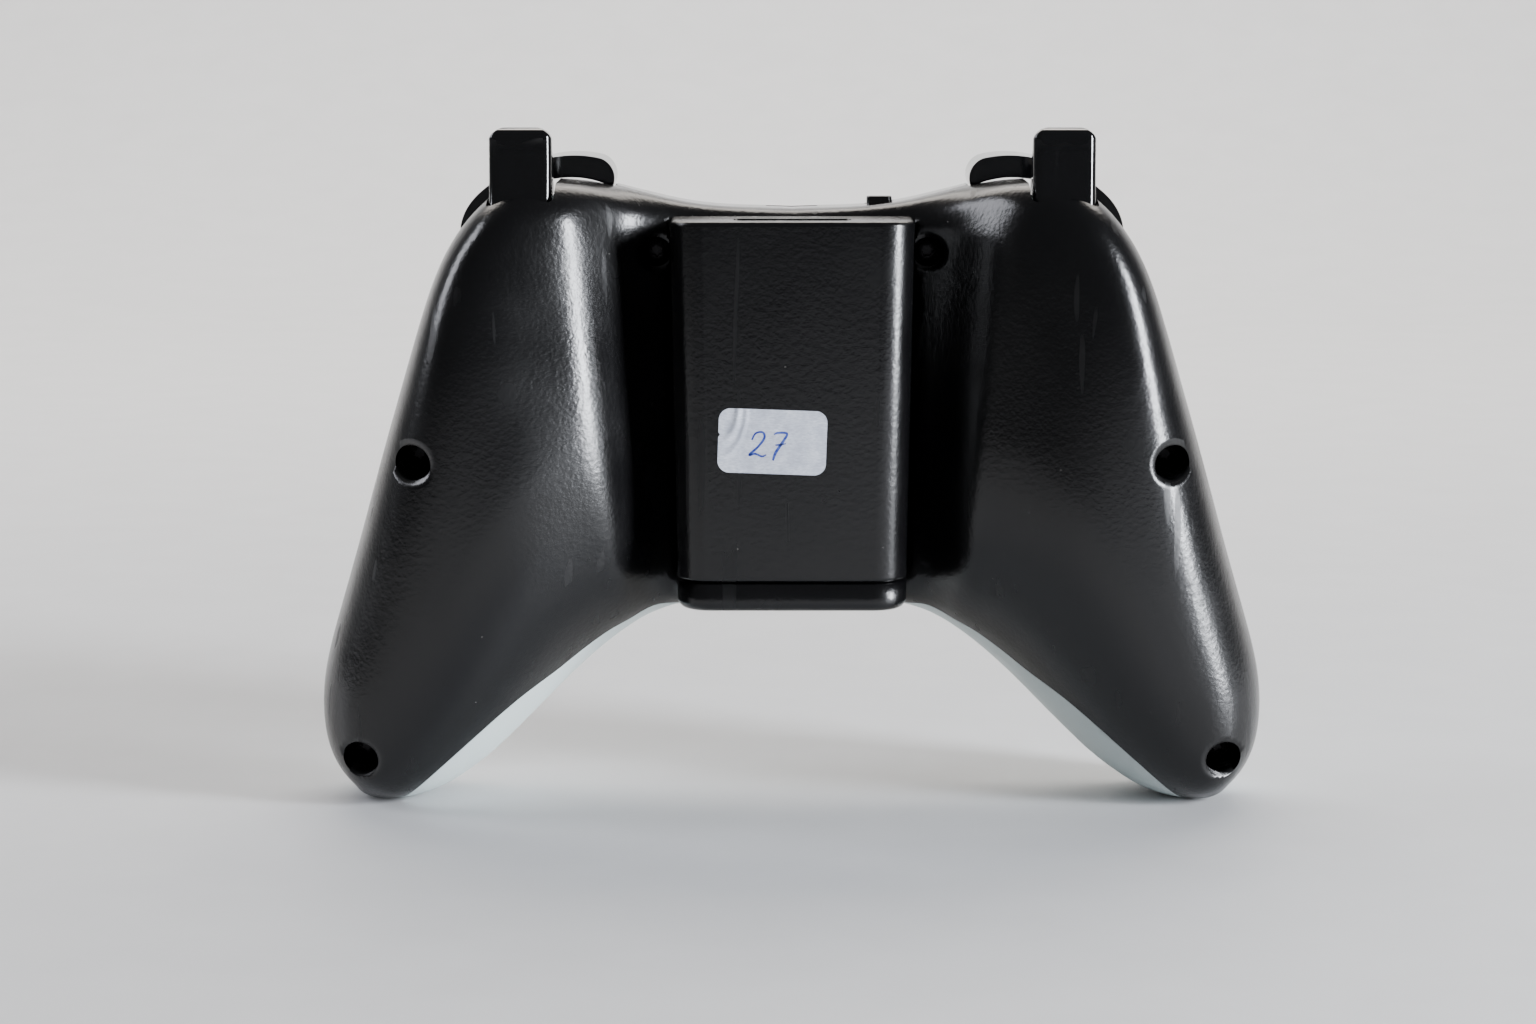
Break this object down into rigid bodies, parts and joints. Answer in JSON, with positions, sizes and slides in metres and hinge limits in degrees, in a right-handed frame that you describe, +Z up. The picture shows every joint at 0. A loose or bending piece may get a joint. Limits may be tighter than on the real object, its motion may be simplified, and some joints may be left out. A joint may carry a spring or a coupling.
{
  "type": "wireless game controller",
  "caption": "Two-handed wireless game controller with thumb sticks, direction pad, face buttons, shoulder triggers and a clip-in battery pack.",
  "frame": {"origin": "on the ground under the middle of the object's box, where the grip tips rest", "axes": "+X to the user's left hand (right in the rear view), +Y out of the button face, +Z up from the grip tips to the triggers"},
  "size_m": [0.1544, 0.0539, 0.11],
  "materials": {
    "black_shell": "fine grained black ABS",
    "pale_shell": "satin pale grey ABS",
    "gloss_black": "polished black",
    "screw_steel": "black zinc",
    "pin_steel": "plain",
    "inner_plastic": "moulded acetal",
    "stick_rubber": "matt thermoplastic rubber",
    "pad_plastic": "satin grey",
    "membrane_rubber": "silicone",
    "button_green": "clear over green",
    "button_red": "clear over red",
    "button_blue": "clear over blue",
    "button_yellow": "clear over yellow",
    "centre_silver": "silver lacquer",
    "ring_clear": "milky light guide",
    "small_grey": "satin grey",
    "board_green": "solder mask",
    "weight_brass": "sintered",
    "cell_wrap": "shrink sleeve over a metal can, as heavy as a real cell",
    "contact_plate": "nickel plated",
    "label_paper": "uncoated white"
  },
  "bodies": {
    "root": {"bumper_bridge": "gloss_black", "bumper_switches": "inner_plastic", "centre_membrane": "membrane_rubber", "charge_port": "pin_steel", "dpad_membrane": "membrane_rubber", "dpad_post": "inner_plastic", "face_membrane": "membrane_rubber", "front_shell": "pale_shell", "guide_ring": "ring_clear", "headset_jack": "inner_plastic", "left_motor": "pin_steel", "left_stick_housing": "inner_plastic", "left_stick_sensors": "inner_plastic", "left_trigger_bracket": "inner_plastic", "main_board": "board_green", "radio_shield": "pin_steel", "rear_shell": "black_shell", "right_motor": "pin_steel", "right_stick_housing": "inner_plastic", "right_stick_sensors": "inner_plastic", "right_trigger_bracket": "inner_plastic", "shell_screws": "screw_steel", "trigger_pins": "pin_steel", "trigger_sensors": "inner_plastic", "trigger_springs": "pin_steel"},
    "left_trigger": {"left_trigger": "gloss_black"},
    "right_trigger": {"right_trigger": "gloss_black"},
    "left_bumper": {"left_bumper": "gloss_black"},
    "right_bumper": {"right_bumper": "gloss_black"},
    "dpad_gimbal": {"dpad_gimbal": "inner_plastic"},
    "dpad_cap": {"dpad_cap": "pad_plastic"},
    "guide_button": {"guide_button": "centre_silver"},
    "back_button": {"back_button": "small_grey"},
    "start_button": {"start_button": "small_grey"},
    "connect_button": {"connect_button": "gloss_black"},
    "battery_pack": {"pack_cover": "black_shell", "pack_tray": "black_shell", "battery_cells": "cell_wrap", "pack_contacts": "contact_plate", "pack_label": "label_paper"},
    "battery_latch": {"battery_latch": "gloss_black"},
    "left_weight": {"left_weight": "weight_brass"},
    "right_weight": {"right_weight": "weight_brass"},
    "button_north": {"button_north": "button_yellow"},
    "button_south": {"button_south": "button_green"},
    "button_inner": {"button_inner": "button_blue"},
    "button_outer": {"button_outer": "button_red"},
    "left_stick_yoke": {"left_stick_yoke": "inner_plastic"},
    "left_stick_shaft": {"left_stick_shaft": "pin_steel"},
    "left_stick_cap": {"left_stick_cap": "stick_rubber"},
    "left_stick_rocker": {"left_stick_rocker": "inner_plastic"},
    "right_stick_yoke": {"right_stick_yoke": "inner_plastic"},
    "right_stick_shaft": {"right_stick_shaft": "pin_steel"},
    "right_stick_cap": {"right_stick_cap": "stick_rubber"},
    "right_stick_rocker": {"right_stick_rocker": "inner_plastic"}
  },
  "joints": [
    {"name": "left_trigger_pull", "type": "hinge", "parent": "root", "child": "left_trigger", "pos_m": [0.0434, -0.0047, 0.0943], "axis": [1, 0, 0], "range_deg": [0, 16], "stiffness_Nm_per_rad": 0.06, "springref_deg": -11.46},
    {"name": "left_bumper_press", "type": "hinge", "parent": "root", "child": "left_bumper", "pos_m": [0.03, 0.005, 0.0995], "axis": [0, 1, 0], "range_deg": [0, 2.5], "stiffness_Nm_per_rad": 0.5, "springref_deg": -1.72},
    {"name": "right_trigger_pull", "type": "hinge", "parent": "root", "child": "right_trigger", "pos_m": [-0.0434, -0.0047, 0.0943], "axis": [1, 0, 0], "range_deg": [0, 16], "stiffness_Nm_per_rad": 0.06, "springref_deg": -11.46},
    {"name": "right_bumper_press", "type": "hinge", "parent": "root", "child": "right_bumper", "pos_m": [-0.03, 0.005, 0.0995], "axis": [0, -1, 0], "range_deg": [0, 2.5], "stiffness_Nm_per_rad": 0.5, "springref_deg": -1.72},
    {"name": "left_stick_pitch", "type": "hinge", "parent": "root", "child": "left_stick_yoke", "pos_m": [0.0385, 0.0088, 0.075], "axis": [1, 0, 0], "range_deg": [-18, 18], "stiffness_Nm_per_rad": 0.06},
    {"name": "left_stick_roll", "type": "hinge", "parent": "left_stick_yoke", "child": "left_stick_shaft", "pos_m": [0.0385, 0.0088, 0.075], "axis": [0, 0, 1], "range_deg": [-18, 18], "stiffness_Nm_per_rad": 0.06},
    {"name": "left_stick_click", "type": "slide", "parent": "left_stick_shaft", "child": "left_stick_cap", "axis": [0, -1, 0], "range_m": [0, 0.0005], "stiffness_N_per_m": 2000, "springref_m": -0.0003},
    {"name": "left_stick_rocker_turn", "type": "hinge", "parent": "root", "child": "left_stick_rocker", "pos_m": [0.0385, 0.0088, 0.075], "axis": [0, 0, 1], "range_deg": [-18, 18]},
    {"name": "right_stick_pitch", "type": "hinge", "parent": "root", "child": "right_stick_yoke", "pos_m": [-0.0205, 0.0088, 0.05], "axis": [1, 0, 0], "range_deg": [-18, 18], "stiffness_Nm_per_rad": 0.06},
    {"name": "right_stick_roll", "type": "hinge", "parent": "right_stick_yoke", "child": "right_stick_shaft", "pos_m": [-0.0205, 0.0088, 0.05], "axis": [0, 0, 1], "range_deg": [-18, 18], "stiffness_Nm_per_rad": 0.06},
    {"name": "right_stick_click", "type": "slide", "parent": "right_stick_shaft", "child": "right_stick_cap", "axis": [0, -1, 0], "range_m": [0, 0.0005], "stiffness_N_per_m": 2000, "springref_m": -0.0003},
    {"name": "right_stick_rocker_turn", "type": "hinge", "parent": "root", "child": "right_stick_rocker", "pos_m": [-0.0205, 0.0088, 0.05], "axis": [0, 0, 1], "range_deg": [-18, 18]},
    {"name": "dpad_pitch", "type": "hinge", "parent": "root", "child": "dpad_gimbal", "pos_m": [0.0205, 0.0136, 0.05], "axis": [1, 0, 0], "range_deg": [-5, 5], "stiffness_Nm_per_rad": 0.3},
    {"name": "dpad_roll", "type": "hinge", "parent": "dpad_gimbal", "child": "dpad_cap", "pos_m": [0.0205, 0.0136, 0.05], "axis": [0, 0, 1], "range_deg": [-5, 5], "stiffness_Nm_per_rad": 0.3},
    {"name": "button_north_press", "type": "slide", "parent": "root", "child": "button_north", "axis": [0, -1, 0], "range_m": [0, 0.0016], "stiffness_N_per_m": 400, "springref_m": -0.0005},
    {"name": "button_south_press", "type": "slide", "parent": "root", "child": "button_south", "axis": [0, -1, 0], "range_m": [0, 0.0016], "stiffness_N_per_m": 400, "springref_m": -0.0005},
    {"name": "button_inner_press", "type": "slide", "parent": "root", "child": "button_inner", "axis": [0, -1, 0], "range_m": [0, 0.0016], "stiffness_N_per_m": 400, "springref_m": -0.0005},
    {"name": "button_outer_press", "type": "slide", "parent": "root", "child": "button_outer", "axis": [0, -1, 0], "range_m": [0, 0.0016], "stiffness_N_per_m": 400, "springref_m": -0.0005},
    {"name": "guide_button_press", "type": "slide", "parent": "root", "child": "guide_button", "axis": [0, -1, 0], "range_m": [0, 0.0008], "stiffness_N_per_m": 500, "springref_m": -0.0005},
    {"name": "back_button_press", "type": "slide", "parent": "root", "child": "back_button", "axis": [0, -1, 0], "range_m": [0, 0.0008], "stiffness_N_per_m": 500, "springref_m": -0.0005},
    {"name": "start_button_press", "type": "slide", "parent": "root", "child": "start_button", "axis": [0, -1, 0], "range_m": [0, 0.0008], "stiffness_N_per_m": 500, "springref_m": -0.0005},
    {"name": "connect_button_press", "type": "slide", "parent": "root", "child": "connect_button", "axis": [0, 0, -1], "range_m": [0, 0.0006], "stiffness_N_per_m": 500, "springref_m": -0.0005},
    {"name": "battery_pack_release", "type": "slide", "parent": "root", "child": "battery_pack", "axis": [0, -1, 0], "range_m": [0, 0.024]},
    {"name": "battery_latch_press", "type": "slide", "parent": "battery_pack", "child": "battery_latch", "axis": [0, 0, -1], "range_m": [0, 0.0008], "stiffness_N_per_m": 800, "springref_m": -0.0005},
    {"name": "left_weight_spin", "type": "hinge", "parent": "root", "child": "left_weight", "pos_m": [0.057, -0.009, 0.018], "axis": [0, 0, 1], "continuous": true},
    {"name": "right_weight_spin", "type": "hinge", "parent": "root", "child": "right_weight", "pos_m": [-0.057, -0.009, 0.018], "axis": [0, 0, 1], "continuous": true}
  ],
  "couplings": [
    {"joint": "left_stick_rocker_turn", "follows": "left_stick_roll", "ratio": 1},
    {"joint": "right_stick_rocker_turn", "follows": "right_stick_roll", "ratio": 1}
  ]
}
